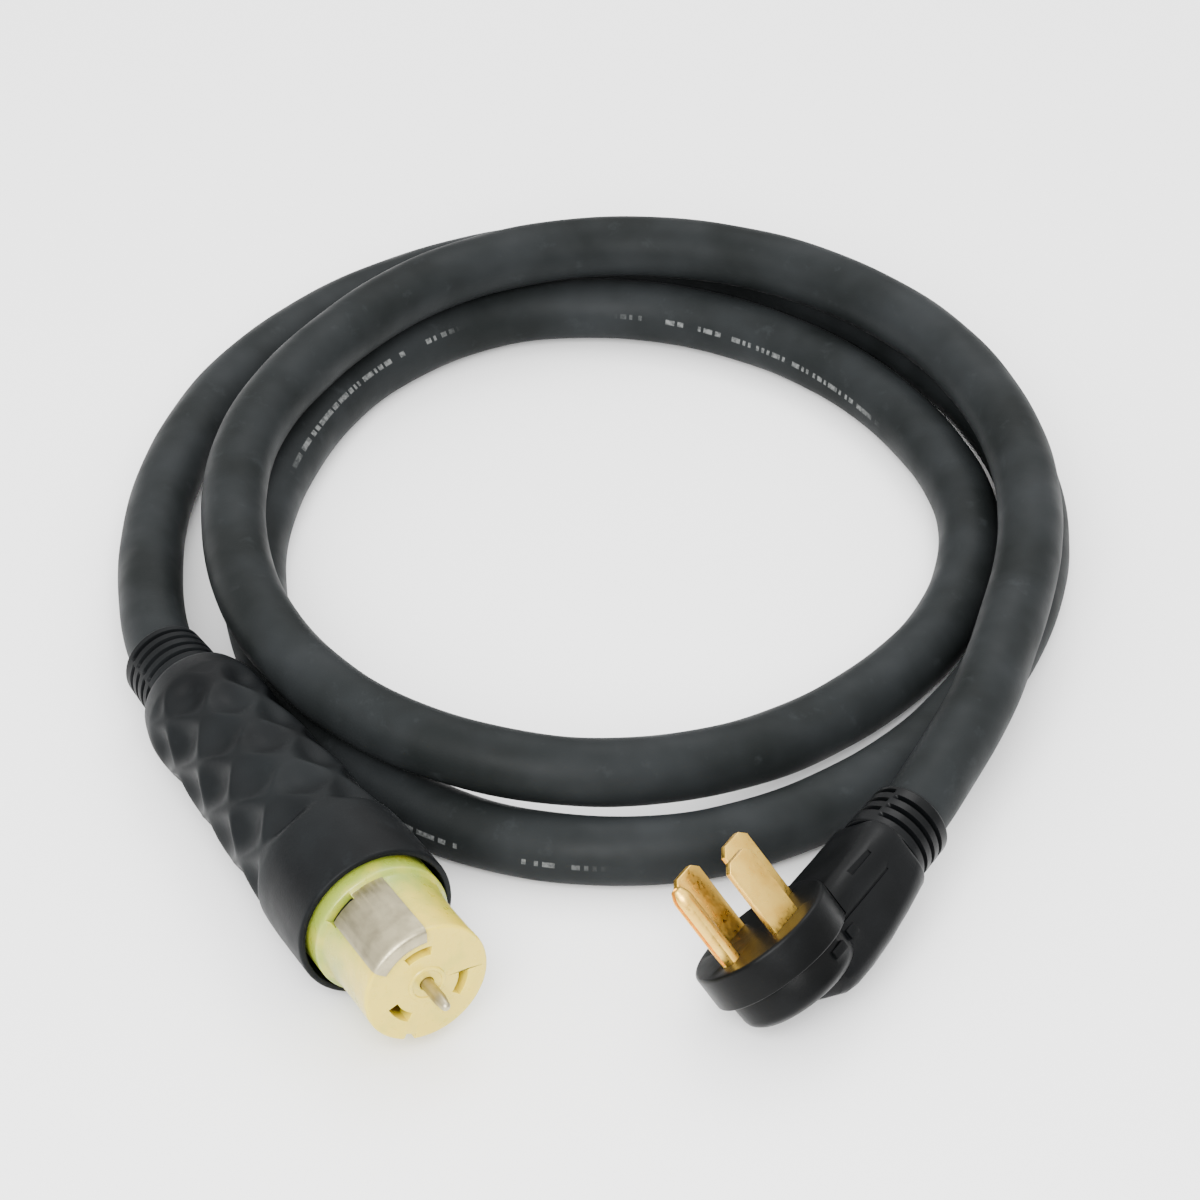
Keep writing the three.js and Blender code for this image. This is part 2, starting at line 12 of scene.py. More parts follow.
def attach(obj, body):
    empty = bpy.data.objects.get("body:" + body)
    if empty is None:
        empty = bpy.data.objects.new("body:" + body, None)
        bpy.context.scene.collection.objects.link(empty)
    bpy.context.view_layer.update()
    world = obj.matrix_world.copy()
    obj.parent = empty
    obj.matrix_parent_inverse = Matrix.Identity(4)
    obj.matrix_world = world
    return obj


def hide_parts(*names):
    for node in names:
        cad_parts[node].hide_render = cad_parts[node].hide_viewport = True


MM = 0.001
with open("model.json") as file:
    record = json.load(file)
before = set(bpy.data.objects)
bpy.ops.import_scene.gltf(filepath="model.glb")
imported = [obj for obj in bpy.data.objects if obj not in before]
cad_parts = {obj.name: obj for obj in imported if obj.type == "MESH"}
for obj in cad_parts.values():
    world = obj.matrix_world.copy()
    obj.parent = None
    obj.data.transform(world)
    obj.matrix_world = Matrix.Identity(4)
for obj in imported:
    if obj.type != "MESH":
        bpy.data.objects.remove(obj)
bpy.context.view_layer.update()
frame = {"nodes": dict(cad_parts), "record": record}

# ---- Places shared with the CAD model, in its millimetres ----

COIL_CENTRE = Vector((1.13, 31.99, 0.0))
# one station every COIL_STEP degrees, from the plug inwards and round to the connector:
# (distance from the coil's centre, height of the cord's centre line)
COIL_START = -35
COIL_STEP = 25
FLOOR = 11.9
COIL = [
    (167.5, 35), (156, 36), (155.5, 35), (160.5, 34.5), (162.5, 35.5), (158, 37), (148.5, 37),
    (137, 35.5), (133, 36), (133, 36.5), (141.5, 37), (152.5, 36.5), (151.5, 30), (139.5, 20.5),
    (131.5, 15), (132.5, FLOOR), (136.5, 12.5), (138, FLOOR), (144, FLOOR), (148.5, 13.5),
    (150, 13.5), (140, FLOOR), (127.5, FLOOR), (125.5, FLOOR), (132, FLOOR), (148, FLOOR),
    (166.5, FLOOR), (171.5, FLOOR), (164.5, 12.5), (157.5, FLOOR), (159, 12.5), (165, FLOOR),
    (172, 12.5), (183, 13), (191.5, 12.5), (183.5, FLOOR), (172.5, FLOOR), (163.5, 14.5),
]
# points where the cord is not coiled, from the coil's centre: (x, y, height)
PLUG_LEAD = [(112.5, -155.5, 32), (129.5, -120, 33.8)]
CONNECTOR_LEAD = [(-162.5, 7, 14.5), (-162, -21, 16.4), (-157.5, -58, 19.6)]
CONNECTOR_FACE = Vector((-54.6, -253.5, 29.6)) + COIL_CENTRE
PLUG_FACE = Vector((50.4, -232.4, 33.4)) + COIL_CENTRE
PLUG_EXIT = Vector((0.562, 0.821, 0.101)).normalized()
PLUG_FRONT = Vector((-0.596, 0.318, 0.737))
CONNECTOR_HEADING = math.radians(-60.6)
CONNECTOR_PITCH = math.radians(-2.4)
CORD_RADIUS = 11.75
CORD_DEPTH = -15.5  # the cord's centre below the plug's face
CONDUCTOR_OFFSET = 5.1
GROUND_SPOT = -15.9  # the ground pin's place along the plug's X
CONNECTOR_RELIEF_REAR = -198
CONNECTOR_JACKET_END = -108
PLUG_RELIEF_END = 76
PLUG_JACKET_END = 30


def connector_matrix():
    """Connector frame: +X towards the contacts, the origin at the centre of the face."""
    turn = Matrix.Rotation(CONNECTOR_HEADING, 4, "Z") @ Matrix.Rotation(CONNECTOR_PITCH, 4, "Y")
    return Matrix.Translation(CONNECTOR_FACE * MM) @ turn


def plug_matrix():
    """Plug frame: +X along the cord's exit, +Y out of the face, the origin at the face's centre."""
    side = PLUG_EXIT.cross(PLUG_FRONT).normalized()
    front = side.cross(PLUG_EXIT)
    turn = Matrix((PLUG_EXIT, front, side)).transposed().to_4x4()
    return Matrix.Translation(PLUG_FACE * MM) @ turn


CONNECTOR = connector_matrix()
PLUG = plug_matrix()

# ---- Camera ----

CAMERA_ELEVATION = math.radians(38)
CAMERA_DISTANCE = 1.568
CAMERA_TARGET = (COIL_CENTRE - Vector((0, 19, 0))) * MM
CAMERA_LENS = 129.75


def make_camera():
    data = bpy.data.cameras.new("camera")
    data.lens = CAMERA_LENS
    data.sensor_width = 36
    camera = bpy.data.objects.new("camera", data)
    back = Vector((0, -math.cos(CAMERA_ELEVATION), math.sin(CAMERA_ELEVATION)))
    camera.location = CAMERA_TARGET + back * CAMERA_DISTANCE
    camera.rotation_euler = (math.pi / 2 - CAMERA_ELEVATION, 0, 0)
    bpy.context.collection.objects.link(camera)
    bpy.context.scene.camera = camera


make_camera()

# ---- Cord ----


def coil_point(radius, degrees, height):
    angle = math.radians(degrees)
    return Vector((radius * math.cos(angle), radius * math.sin(angle), height)) + COIL_CENTRE


def route_points():
    """The cord's centre line from the connector to the plug, in millimetres."""
    connector = [CONNECTOR @ Vector((x * MM, 0, 0)) / MM
                 for x in (CONNECTOR_JACKET_END, -150, CONNECTOR_RELIEF_REAR - 1)]
    coil = [coil_point(radius, COIL_START + COIL_STEP * i, height)
            for i, (radius, height) in enumerate(COIL)]
    plug = [PLUG @ Vector((x * MM, CORD_DEPTH * MM, 0)) / MM
            for x in (PLUG_RELIEF_END + 1, 50, PLUG_JACKET_END)]
    lead_in = [Vector(point) + COIL_CENTRE for point in reversed(CONNECTOR_LEAD)]
    lead_out = [Vector(point) + COIL_CENTRE for point in reversed(PLUG_LEAD)]
    return connector + lead_in + coil[::-1] + lead_out + plug


def centripetal(points, per_span):
    """Catmull-Rom curve with centripetal spacing through every point."""
    ends = [2 * points[0] - points[1], *points, 2 * points[-1] - points[-2]]
    curve = []
    for before, start, end, after in zip(ends, ends[1:], ends[2:], ends[3:]):
        t1 = (start - before).length ** 0.5
        t2 = t1 + (end - start).length ** 0.5
        t3 = t2 + (after - end).length ** 0.5
        for i in range(per_span):
            t = t1 + (t2 - t1) * i / per_span
            a = before.lerp(start, t / t1)
            b = start.lerp(end, (t - t1) / (t2 - t1))
            c = end.lerp(after, (t - t2) / (t3 - t2))
            d = a.lerp(b, t / t2)
            e = b.lerp(c, (t - t1) / (t3 - t1))
            curve.append(d.lerp(e, (t - t1) / (t2 - t1)))
    curve.append(points[-1])
    return curve


def even_spacing(curve, step):
    """The same curve as points an equal distance apart."""
    line = np.array([tuple(point) for point in curve])
    along = np.concatenate([[0], np.cumsum(np.linalg.norm(np.diff(line, axis=0), axis=1))])
    places = np.linspace(0, along[-1], round(along[-1] / step) + 1)
    return np.stack([np.interp(places, along, line[:, i]) for i in range(3)], axis=1)


def relaxed(line, passes):
    """Evens out small kinks; the two straight ends stay where they are."""
    for _ in range(passes):
        line[8:-8] = line[8:-8] * 0.5 + (line[7:-9] + line[9:-7]) * 0.25
    return line


def unit(vectors):
    return vectors / np.linalg.norm(vectors, axis=1)[:, None]


def add_mesh(name, vertices, faces, smooth=True):
    """A mesh object in the scene from vertices in metres."""
    mesh = bpy.data.meshes.new(name)
    mesh.from_pydata([tuple(v) for v in vertices], [], faces)
    mesh.validate()
    mesh.polygons.foreach_set("use_smooth", [smooth] * len(mesh.polygons))
    item = bpy.data.objects.new(name, mesh)
    bpy.context.collection.objects.link(item)
    return item


def skin(rings, closed_ends=True):
    """Quads between rings of equal size, given as an array of ring, vertex, coordinate."""
    count, size = rings.shape[:2]
    faces = []
    for i in range(count - 1):
        for j in range(size):
            k = (j + 1) % size
            faces.append((i * size + j, i * size + k, (i + 1) * size + k, (i + 1) * size + j))
    if closed_ends:
        faces.append(tuple(range(size))[::-1])
        faces.append(tuple(range((count - 1) * size, count * size)))
    return rings.reshape(-1, 3), faces


CORD_SIDES = 40
CORD_STEP = 3.0
CORD_LAY = 170  # length of one turn of the conductors under the jacket
CORD_WAVE = 0.1  # how far the jacket is out of round
SPAN_POINTS = 24
RELAX_PASSES = 40
# where the worn print runs: (station in degrees, degrees round the cord, printed here or not)
PRINT_LINE = ((393, 172, 0), (400, 171, 1), (441, 161, 1), (448, 160, 0), (474, 143, 0), (480, 142, 1),
              (515, 130, 1), (525, 130, 0), (596, 10, 0), (602, 10, 1), (624, 10, 1), (631, 10, 0))


def station_place(line, degrees):
    """How far along the line the coil's station in degrees lies, in millimetres."""
    place = (degrees - COIL_START) / COIL_STEP
    first = int(place)
    near = [coil_point(COIL[i][0], COIL_START + COIL_STEP * i, COIL[i][1]) for i in (first, first + 1)]
    start, end = [int(np.argmin(np.linalg.norm(line - np.array(point), axis=1))) for point in near]
    return (start + (end - start) * (place - first)) * CORD_STEP


def make_cord():
    curve = centripetal(route_points(), SPAN_POINTS)
    line = relaxed(even_spacing(curve, CORD_STEP), RELAX_PASSES)
    tangent = unit(np.gradient(line, axis=0))
    side = unit(np.cross(np.array([0.0, 0.0, 1.0]), tangent))
    up = np.cross(tangent, side)
    angle = np.linspace(0, 2 * np.pi, CORD_SIDES, endpoint=False)
    along = np.arange(len(line)) * CORD_STEP
    # the jacket is drawn over laid conductors, so it is very slightly out of round along its lay
    lay = 2 * np.pi * along[:, None] / CORD_LAY
    wave = np.cos(4 * (angle[None, :] - lay)) * np.sin(along / 31)[:, None]
    radius = CORD_RADIUS - CORD_WAVE + CORD_WAVE * wave
    rings = (line[:, None, :] + radius[..., None] * (
        np.cos(angle)[None, :, None] * side[:, None, :] + np.sin(angle)[None, :, None] * up[:, None, :]))
    vertices, faces = skin(rings * MM)
    item = add_mesh("cord", vertices, faces)
    places = [station_place(line, row[0]) for row in PRINT_LINE][::-1]
    centre = np.interp(along, places, [math.radians(row[1]) for row in PRINT_LINE][::-1])
    printed = np.interp(along, places, [row[2] for row in PRINT_LINE][::-1])
    offset = angle[None, :] - centre[:, None]
    layers = {
        "along": np.repeat(along, CORD_SIDES),
        "print_across": (CORD_RADIUS * np.sin(offset)).ravel(),
        "print_on": (printed[:, None] * (np.cos(offset) > 0.2)).ravel(),
    }
    for name, values in layers.items():
        layer = item.data.attributes.new(name, "FLOAT", "POINT")
        layer.data.foreach_set("value", values.astype(np.float32))
    return item, line * MM


cord, cord_line = make_cord()


# ---- Mesh tools; shapes are given in millimetres in the frame of the end that they belong to ----


def rounded(corners, steps=5):
    """A profile from (x, radius, fillet) corners, each fillet drawn as a short curve."""
    points = []
    for i, (x, r, fillet) in enumerate(corners):
        corner = Vector((x, r))
        if fillet == 0 or i in (0, len(corners) - 1):
            points.append((x, r))
            continue
        before = Vector(corners[i - 1][:2]) - corner
        after = Vector(corners[i + 1][:2]) - corner
        start = corner + before.normalized() * fillet
        end = corner + after.normalized() * fillet
        for k in range(steps + 1):
            t = k / steps
            points.append(tuple(start.lerp(corner, t).lerp(corner.lerp(end, t), t)))
    return points


def refine(profile, step):
    """The same profile with points no further apart than step."""
    points = []
    for (x0, r0), (x1, r1) in zip(profile, profile[1:]):
        count = max(1, math.ceil(math.hypot(x1 - x0, r1 - r0) / step))
        points += [(x0 + (x1 - x0) * k / count, r0 + (r1 - r0) * k / count) for k in range(count)]
    points.append(profile[-1])
    return points


def turned(name, profile, sides=96, carve=None):
    """Revolves a profile of (x, radius) about X. carve(x, radius, angles) gives new radii."""
    loop = profile[0] == profile[-1]
    profile = profile[:-1] if loop else profile
    angle = np.linspace(0, 2 * np.pi, sides, endpoint=False)
    rings = []
    for x, radius in profile:
        radii = carve(x, radius, angle) if carve else np.full(sides, float(radius))
        rings.append(np.stack([np.full(sides, x), radii * np.cos(angle), radii * np.sin(angle)], axis=1))
    if loop:
        rings.append(rings[0])
    vertices, faces = skin(np.array(rings) * MM, closed_ends=False)
    item = add_mesh(name, vertices, faces)
    tidy_mesh(item)
    return item


def tidy_mesh(item, merge=2e-7, sharp=35):
    """Merges doubles, turns faces outwards and marks sharp edges."""
    shape = bmesh.new()
    shape.from_mesh(item.data)
    bmesh.ops.remove_doubles(shape, verts=shape.verts, dist=merge)
    bmesh.ops.dissolve_degenerate(shape, dist=merge, edges=shape.edges)
    bmesh.ops.recalc_face_normals(shape, faces=shape.faces)
    shape.to_mesh(item.data)
    shape.free()
    item.data.polygons.foreach_set("use_smooth", [True] * len(item.data.polygons))
    item.data.set_sharp_from_angle(angle=math.radians(sharp))


def prism(name, outline, low, high, axis="X"):
    """A solid with the given outline, pushed along X (outline in Y, Z) or along Z (outline in X, Y)."""
    def place(a, b, depth):
        return (depth, a, b) if axis == "X" else (a, b, depth)
    size = len(outline)
    vertices = [Vector(place(a, b, depth)) * MM for depth in (low, high) for a, b in outline]
    faces = [tuple(range(size)), tuple(range(size, 2 * size))]
    faces += [(i, (i + 1) % size, (i + 1) % size + size, i + size) for i in range(size)]
    item = add_mesh(name, vertices, faces)
    tidy_mesh(item)
    return item


def box(name, xs, ys, zs):
    outline = [(xs[0], ys[0]), (xs[1], ys[0]), (xs[1], ys[1]), (xs[0], ys[1])]
    return prism(name, outline, zs[0], zs[1], axis="Z")


def arc_outline(inner, outer, start, end, steps=16):
    """Outline of a ring sector in Y and Z, angles in degrees."""
    angles = [math.radians(start + (end - start) * k / steps) for k in range(steps + 1)]
    outside = [(outer * math.cos(a), outer * math.sin(a)) for a in angles]
    inside = [(inner * math.cos(a), inner * math.sin(a)) for a in reversed(angles)]
    return outside + inside


def applied(item):
    """Replaces the mesh by what its modifiers make of it."""
    graph = bpy.context.evaluated_depsgraph_get()
    mesh = bpy.data.meshes.new_from_object(item.evaluated_get(graph))
    item.modifiers.clear()
    item.data = mesh
    return item


def combine(item, others, operation):
    """Joins or cuts item with each of the other objects, which are used up."""
    for other in others:
        step = item.modifiers.new("combine", "BOOLEAN")
        step.operation = operation
        step.solver = "EXACT"
        step.object = other
        applied(item)
        bpy.data.objects.remove(other)
    return mended(item)


def mended(item, reach=1e-6):
    """Closes the hairline gaps, a thousandth of a millimetre, that a cut can leave."""
    shape = bmesh.new()
    shape.from_mesh(item.data)
    bmesh.ops.remove_doubles(shape, verts=shape.verts, dist=reach)
    bmesh.ops.dissolve_degenerate(shape, dist=reach, edges=shape.edges)
    open_edges = [edge for edge in shape.edges if len(edge.link_faces) == 1]
    bmesh.ops.holes_fill(shape, edges=open_edges, sides=0)
    shape.to_mesh(item.data)
    shape.free()
    return item


def eased(item, width, segments=2, angle=40):
    """Rounds every edge sharper than the angle."""
    step = item.modifiers.new("ease", "BEVEL")
    step.width = width * MM
    step.segments = segments
    step.limit_method = "ANGLE"
    step.angle_limit = math.radians(angle)
    step.use_clamp_overlap = True
    applied(item)
    item.data.polygons.foreach_set("use_smooth", [True] * len(item.data.polygons))
    item.data.set_sharp_from_angle(angle=math.radians(50))
    return item


def smoothstep(low, high, value):
    t = np.clip((value - low) / (high - low), 0, 1)
    return t * t * (3 - 2 * t)


# ---- Connector ----

GRIP_FRONT = -67
GRIP_BACK = -164
HOLLOW_DEPTH = 3.6
HOLLOW_LENGTH = 27
HOLLOW_TOP = -86
GRIP_COLUMNS = 6
NOSE_FLANGE = 23.7


def grip_hollows(x, radius, angle):
    """Diamond hollows that meet in ridges, each column half a length from the next."""
    if radius < 20 or not GRIP_BACK < x < GRIP_FRONT:
        return np.full(len(angle), float(radius))
    fade = smoothstep(0, 9, x - GRIP_BACK) * smoothstep(0, 6, GRIP_FRONT - x)
    across = GRIP_COLUMNS * (angle - math.pi / 2) / 2
    lengthwise = math.pi * (x - HOLLOW_TOP) / HOLLOW_LENGTH
    hollow = np.abs(np.cos(across + lengthwise) * np.cos(across - lengthwise))
    return radius - HOLLOW_DEPTH * fade * np.sqrt(hollow * hollow + 0.012)


def make_connector_overmould():
    outside = rounded([
        (-175.7, 12.3, 0), (-175.7, 16.4, 1.2), (-172.5, 19.2, 1.5), (-167, 21, 4), (-159, 22.6, 4),
        (-147, 22.1, 5), (-128, 23, 5), (-109, 24.1, 5), (-90, 25, 5), (-76, 25.6, 4), (-66, 26.9, 4),
        (-58, 27.3, 4), (-35, 27.5, 1.2), (-35, 25.3, 0.5), (-44.9, 25.3, 0.5), (-46, 24, 0),
    ])
    inside = [(-46, 20.8), (-60.6, 20.8), (-61, 19.4), (-68, 19.2), (-96, 14.5), (-104, 12.3),
              (-175.7, 12.3)]
    return turned("connector_grip", refine(outside, 0.9) + inside, 200, grip_hollows)


def broken_grooves(places, half_pitch, depth, width=0.55):
    """Grooves in two families: across the top and bottom, and between them down the sides."""
    def carve(x, radius, angle):
        new = np.full(len(angle), float(radius))
        if radius < 13.6:
            return new
        upright = np.abs(np.sin(angle))
        for shift, window in ((0, smoothstep(0.5, 0.6, upright)),
                              (half_pitch, 1 - smoothstep(0.36, 0.46, upright))):
            for place in places:
                groove = 1 - smoothstep(width, width + 0.45, abs(x - place - shift))
                new = new - depth * groove * window
        return new
    return carve


def make_relief(name, start, end, start_radius, end_radius, grooves, half_pitch):
    profile = rounded([
        (start, 12.35, 0), (start, start_radius, 0.8), (end, end_radius, 0.8), (end, 12.35, 0),
        (start, 12.35, 0),
    ])
    return turned(name, refine(profile, 0.3), 144, broken_grooves(grooves, half_pitch, 2.0))


def make_nose():
    profile = rounded([
        (-52, 18.8, 0), (-52, 20.5, 0.4), (-45.7, 20.5, 0), (-45.7, NOSE_FLANGE, 0.5),
        (-30.8, NOSE_FLANGE, 0.6), (-29.6, 21.9, 0.6), (-22, 21.3, 5), (-8, 21.5, 5),
        (0, 21.8, 1.2), (0, 6.6, 0.1), (0.5, 6.3, 0.2), (0.5, 5.3, 0.2), (0, 5, 0.1), (0, 0, 0),
        (-6, 0, 0), (-6, 18.8, 1),
        (-52, 18.8, 0),
    ])
    nose = turned("connector_nose_moulding", profile, 160)
    cutters = [prism("slot", arc_outline(11.3, 14.7, angle - 20, angle + 20), -8, 2)
               for angle in (100, 340, 220)]
    cutters.append(turned("hole", [(-8, 0), (-8, 2.6), (2, 2.6), (2, 0)], 40))
    cutters.append(prism("strip_slot", arc_outline(17, 26, 119, 148), -30.6, -26.4))
    cutters.append(prism("tuck_slot", arc_outline(16.4, 18.0, 92, 142), -4, 2))
    cutters.append(prism("key", arc_outline(19.3, 24, 245, 256, 4), -4, 2))
    combine(nose, cutters, "DIFFERENCE")
    return eased(nose, 0.25)


def on_circle(radius, degrees):
    angle = math.radians(degrees)
    return Vector((radius * math.cos(angle), radius * math.sin(angle)))


def make_ground_strip():
    """A curved plate on the nose that folds over its front edge, with a leg to the ground wire."""
    path = rounded([(-29.6, 22, 0), (-1.2, 22.5, 0), (0.9, 22.3, 1.6), (0.9, 17.3, 1.2), (-3, 17.1, 0)], 6)
    plate = []
    thickness = 0.8
    centre = [Vector(p) for p in path]
    for i, point in enumerate(centre):
        ahead = centre[min(i + 1, len(centre) - 1)] - centre[max(i - 1, 0)]
        normal = Vector((-ahead.y, ahead.x)).normalized()
        plate.append((point + normal * thickness / 2, point - normal * thickness / 2))
    loop = [a for a, _ in plate] + [b for _, b in reversed(plate)]
    angles = [math.radians(89 + 56 * k / 20) for k in range(21)]
    rings = np.array([[(p.x, p.y * math.cos(a), p.y * math.sin(a)) for p in loop] for a in angles])
    vertices, faces = skin(rings * MM)
    strip = add_mesh("ground_strip", vertices, faces)
    tidy_mesh(strip)
    opening = prism("opening", arc_outline(21.4, 24, 118, 150), -31, -27.5)
    combine(strip, [opening], "DIFFERENCE")
    leg = prism("leg", arc_outline(17.3, 22.3, 122, 144.6), -27.7, -26.8)
    tail = prism("tail", arc_outline(17.3, 18.5, 128, 145), -68, -26.8)
    wire = on_circle(CONDUCTOR_OFFSET, 145)
    out = on_circle(17.8, 139)
    across = (out - wire).normalized().orthogonal() * 1.5
    link = prism("link", [tuple(p) for p in (wire + across, wire - across, out - across, out + across)],
                 -68, -62)
    barrel = turned("barrel", [(-79.7, 0), (-79.7, 2.8), (-62, 2.8), (-62, 0)], 24)
    barrel.data.transform(Matrix.Translation((0, wire.x * MM, wire.y * MM)))
    combine(strip, [leg, tail, link, barrel], "UNION")
    return eased(strip, 0.15)


def make_slot_shadow_piece():
    """Painted shadow: a dark rubber piece at the bottom of the slot behind the ground strip, standing in
    for the shade in that slot.
    """
    shadow_block = prism("slot_shadow_piece", arc_outline(18.9, 20.6, 120, 147), -30.3, -27.9)
    return eased(shadow_block, 0.2)


def make_pin():
    profile = rounded([(-58, 0, 0), (-58, 2.2, 0.3), (9, 2.2, 1.5), (13.2, 1.5, 0.6), (14, 0.7, 0.4),
                       (14, 0, 0)])
    return turned("centre_pin", profile, 48)


# ---- Plug ----

FACE_RADIUS = 25.3
HEAD_RADIUS = 21.8
SEAM = -13.2
BLADE_SPOTS = ((0, -14.1), (0, 14.1), (12.7, 0))


def about_y(item):
    """Turns a piece revolved about X so that its axis is the plug's Y."""
    item.data.transform(Matrix.Rotation(math.pi / 2, 4, "Z"))
    return item


def make_plug_face():
    profile = rounded([
        (0, 0, 0), (0, FACE_RADIUS, 1.3), (-12.7, FACE_RADIUS, 0.8), (-12.7, 21, 0), (-5, 21, 0),
        (-5, 0, 0),
    ])
    face = about_y(turned("plug_disc", profile, 160))
    cutters = [box("slot", (x - 6.6, x + 6.6), (-6, 1), (z - 1.5, z + 1.5)) for x, z in BLADE_SPOTS]
    ground = about_y(turned("hole", [(-6, 0), (-6, 3.6), (1, 3.6), (1, 0)], 40))
    ground.data.transform(Matrix.Translation((GROUND_SPOT * MM, 0, 0)))
    wire_room = box("wires", (15, 27), (-14, -8.3), (-8.3, 8.3))
    combine(face, [*cutters, ground, wire_room], "DIFFERENCE")
    return eased(face, 0.3)


def arm_section(x, front, back, half, corner, steps=8):
    """A rounded rectangle across the arm at one place along it."""
    points = []
    for i, (y, z) in enumerate(((front - corner, half - corner), (back + corner, half - corner),
                                (back + corner, corner - half), (front - corner, corner - half))):
        start = 90 * i
        for k in range(steps + 1):
            turn = math.radians(start + 90 * k / steps)
            points.append((x, y + corner * math.cos(turn), z + corner * math.sin(turn)))
    return points


# along the arm: (x, front, back, half the width, corner radius)
ARM = (
    (2.6, -9, -30, 11, 4), (3.2, -5, -31.8, 13.6, 5), (5, -3.2, -33, 15.4, 6), (9, -2.6, -33.6, 16.3, 6),
    (18, -2.5, -33.6, 16.5, 6), (30, -2.5, -32.7, 16.5, 6), (43, -2.4, -31.2, 16.2, 6.5),
    (52, -1.8, -30.4, 15.7, 8), (55.6, -1.6, -30.1, 15.4, 8.5), (56.7, -2, -29.7, 15, 8.5),
    (57, -2.9, -28.8, 14.1, 8),
)


def make_plug_overmould():
    sections = np.array([arm_section(*row) for row in ARM])
    vertices, faces = skin(sections * MM)
    arm = add_mesh("plug_arm", vertices, faces)
    tidy_mesh(arm)
    head = about_y(turned("head", rounded([
        (-25.4, 0, 0), (-25.4, 18.2, 1.8), (-22.8, 21.4, 1.8), (-12, HEAD_RADIUS, 0.4), (-12, 0, 0),
    ]), 160))
    combine(arm, [head], "UNION")
    face_room = about_y(turned("room", [(-13, 0), (-13, 25.6), (6, 25.6), (6, 0)], 160))
    head_room = about_y(turned("room", [(-22.7, 0), (-22.7, 19.2), (0, 19.2), (0, 0)], 64))
    wire_room = box("wires", (0, 29), (-24, -8), (-8.3, 8.3))
    bore = turned("bore", [(28, 0), (28, 12.25), (60, 12.25), (60, 0)], 64)
    bore.data.transform(Matrix.Translation((0, CORD_DEPTH * MM, 0)))
    notches = [box("notch", (31, 43), (-6.6, -2.2), sorted((side * 14.9, side * 18))) for side in (-1, 1)]
    seams = [box("seam", (16, 44), (SEAM - 1.3, SEAM - 0.5), sorted((side * 15.7, side * 18)))
             for side in (-1, 1)]
    combine(arm, [face_room, head_room, wire_room, bore, *notches, *seams], "DIFFERENCE")
    tabs = []
    for side in (-1, 1):
        tabs.append(box("tab", (14.5, 19), (-20, -16.5), sorted((side * 15, side * 17.6))))
        tabs.append(box("tab", (1.5, 7.5), (-18.6, -15.6), sorted((side * 19.3, side * 22.6))))
    combine(arm, tabs, "UNION")
    return eased(arm, 0.45, angle=30)


def make_ground_pin():
    """Round pin with a groove down the side that faces away from the cord, and its wire barrel."""
    pin = about_y(turned("round_ground_pin", rounded([
        (-7, 0, 0), (-7, 3.3, 0), (26.5, 3.3, 1.5), (29.4, 1.9, 0.3), (30, 0, 0),
    ]), 48))
    pin.data.transform(Matrix.Translation((GROUND_SPOT * MM, 0, 0)))
    combine(pin, [box("groove", (-20, -15.6), (0.6, 31), (-0.75, 0.75))], "DIFFERENCE")
    corner = CONDUCTOR_OFFSET * math.sqrt(0.5)
    low = CORD_DEPTH - corner
    barrel = turned("barrel", [(8, 0), (8, 2.8), (23.7, 2.8), (23.7, 0)], 24)
    barrel.data.transform(Matrix.Translation((0, low * MM, corner * MM)))
    combine(pin, [
        box("leg", (-17.5, -13.9), (low - 1.4, -5.3), (-1.8, 5)),
        box("foot", (-17.5, 10), (low - 1.4, low + 1.4), (2.2, 5)), barrel,
    ], "UNION")
    return eased(pin, 0.25)


def eased_copy(node, width):
    """A detailed copy of a CAD node with its edges rounded."""
    item = bpy.data.objects.new(node + "_stamping", frame["nodes"][node].data.copy())
    bpy.context.collection.objects.link(item)
    tidy_mesh(item, merge=1e-6)
    return eased(item, width)


# ---- Materials ----


def linear(red, green, blue):
    """Scene-linear colour from 0 to 255 display values."""
    return tuple((v / 255) ** 2.2 for v in (red, green, blue)) + (1.0,)


class Finish:
    """A node material, built step by step; an input is a value or another node's output."""

    def __init__(self, name):
        self.material = bpy.data.materials.new(name)
        self.material.use_nodes = True
        self.tree = self.material.node_tree
        self.surface = self.tree.nodes["Principled BSDF"]

    def fill(self, node, inputs):
        for key, value in inputs.items():
            if isinstance(value, bpy.types.NodeSocket):
                self.tree.links.new(value, node.inputs[key])
            else:
                node.inputs[key].default_value = value

    def node(self, kind, inputs, out=0, **settings):
        made = self.tree.nodes.new(kind)
        for key, value in settings.items():
            setattr(made, key, value)
        self.fill(made, inputs)
        return made.outputs[out]

    def place(self, stretch=(1, 1, 1)):
        spot = self.node("ShaderNodeTexCoord", {}, out="Object")
        return self.node("ShaderNodeMapping", {"Vector": spot, "Scale": stretch})

    def noise(self, scale, detail=2.0, stretch=(1, 1, 1), roughness=0.5):
        return self.node("ShaderNodeTexNoise", {
            "Vector": self.place(stretch), "Scale": scale, "Detail": detail, "Roughness": roughness})

    def ranged(self, value, low, high, to_low=0.0, to_high=1.0):
        return self.node("ShaderNodeMapRange", {
            "Value": value, "From Min": low, "From Max": high, "To Min": to_low, "To Max": to_high})

    def math(self, operation, first, second=0.0):
        return self.node("ShaderNodeMath", {0: first, 1: second}, operation=operation)

    def mix(self, factor, first, second):
        return self.node("ShaderNodeMix", {"Factor": factor, 6: first, 7: second}, out=2,
                         data_type="RGBA")

    def attribute(self, name):
        return self.node("ShaderNodeAttribute", {}, out="Fac", attribute_name=name)

    def bump(self, height, distance, strength=1.0, under=None):
        inputs = {"Height": height, "Distance": distance, "Strength": strength}
        if under is not None:
            inputs["Normal"] = under
        return self.node("ShaderNodeBump", inputs)


